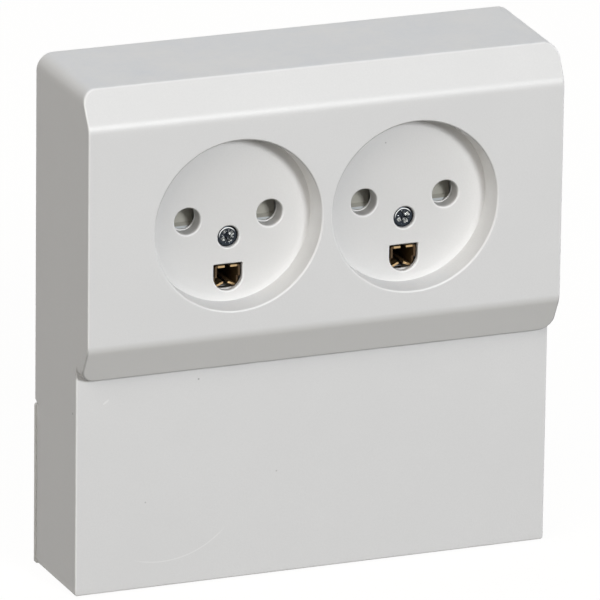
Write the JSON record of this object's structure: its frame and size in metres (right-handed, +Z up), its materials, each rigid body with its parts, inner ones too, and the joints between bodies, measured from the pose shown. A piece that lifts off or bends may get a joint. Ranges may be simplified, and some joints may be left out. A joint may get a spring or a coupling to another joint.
{
  "type": "double wall socket",
  "caption": "White surface-mounted double wall socket with earthed round recesses in a raised, chamfered block above a flat lower plate.",
  "frame": {"origin": "middle of the wall face, half way up the cover", "axes": "+X to the right seen from the front, -Y out of the wall towards the user, +Z up"},
  "size_m": [0.1116, 0.0315, 0.117],
  "materials": {
    "cover_plastic": "white moulding, semi-matt with fine grain",
    "face_plastic": "white moulding, semi-matt",
    "shutter_plastic": "pale beige-grey moulding",
    "carrier_plastic": "grey insulating moulding",
    "base_plastic": "white moulding, matt",
    "zinc_steel": "zinc plated",
    "spring_steel": "bare wire",
    "brass": "bare stamped brass"
  },
  "bodies": {
    "housing": {"cover": "cover_plastic", "socket_face_left": "face_plastic", "socket_face_right": "face_plastic", "face_screws": "zinc_steel", "screw_inserts": "brass", "contact_carrier": "carrier_plastic", "carrier_screws": "zinc_steel", "shutter_spring_left": "spring_steel", "shutter_spring_right": "spring_steel", "line_strip": "brass", "neutral_strip": "brass", "earth_strip": "brass", "line_terminal": "brass", "neutral_terminal": "brass", "earth_terminal": "brass", "terminal_screws": "zinc_steel", "base_plate": "base_plastic", "cable_clamp": "carrier_plastic", "cable_clamp_screws": "zinc_steel"},
    "shutter_left": {"shutter_left": "shutter_plastic"},
    "shutter_right": {"shutter_right": "shutter_plastic"}
  },
  "joints": [
    {"name": "shutter_left_slide", "type": "slide", "parent": "housing", "child": "shutter_left", "axis": [0, 0, -1], "range_m": [0, 0.0064], "stiffness_N_per_m": 150, "springref_m": -0.004, "deforming": ["shutter_spring_left"]},
    {"name": "shutter_right_slide", "type": "slide", "parent": "housing", "child": "shutter_right", "axis": [0, 0, -1], "range_m": [0, 0.0064], "stiffness_N_per_m": 150, "springref_m": -0.004, "deforming": ["shutter_spring_right"]}
  ]
}
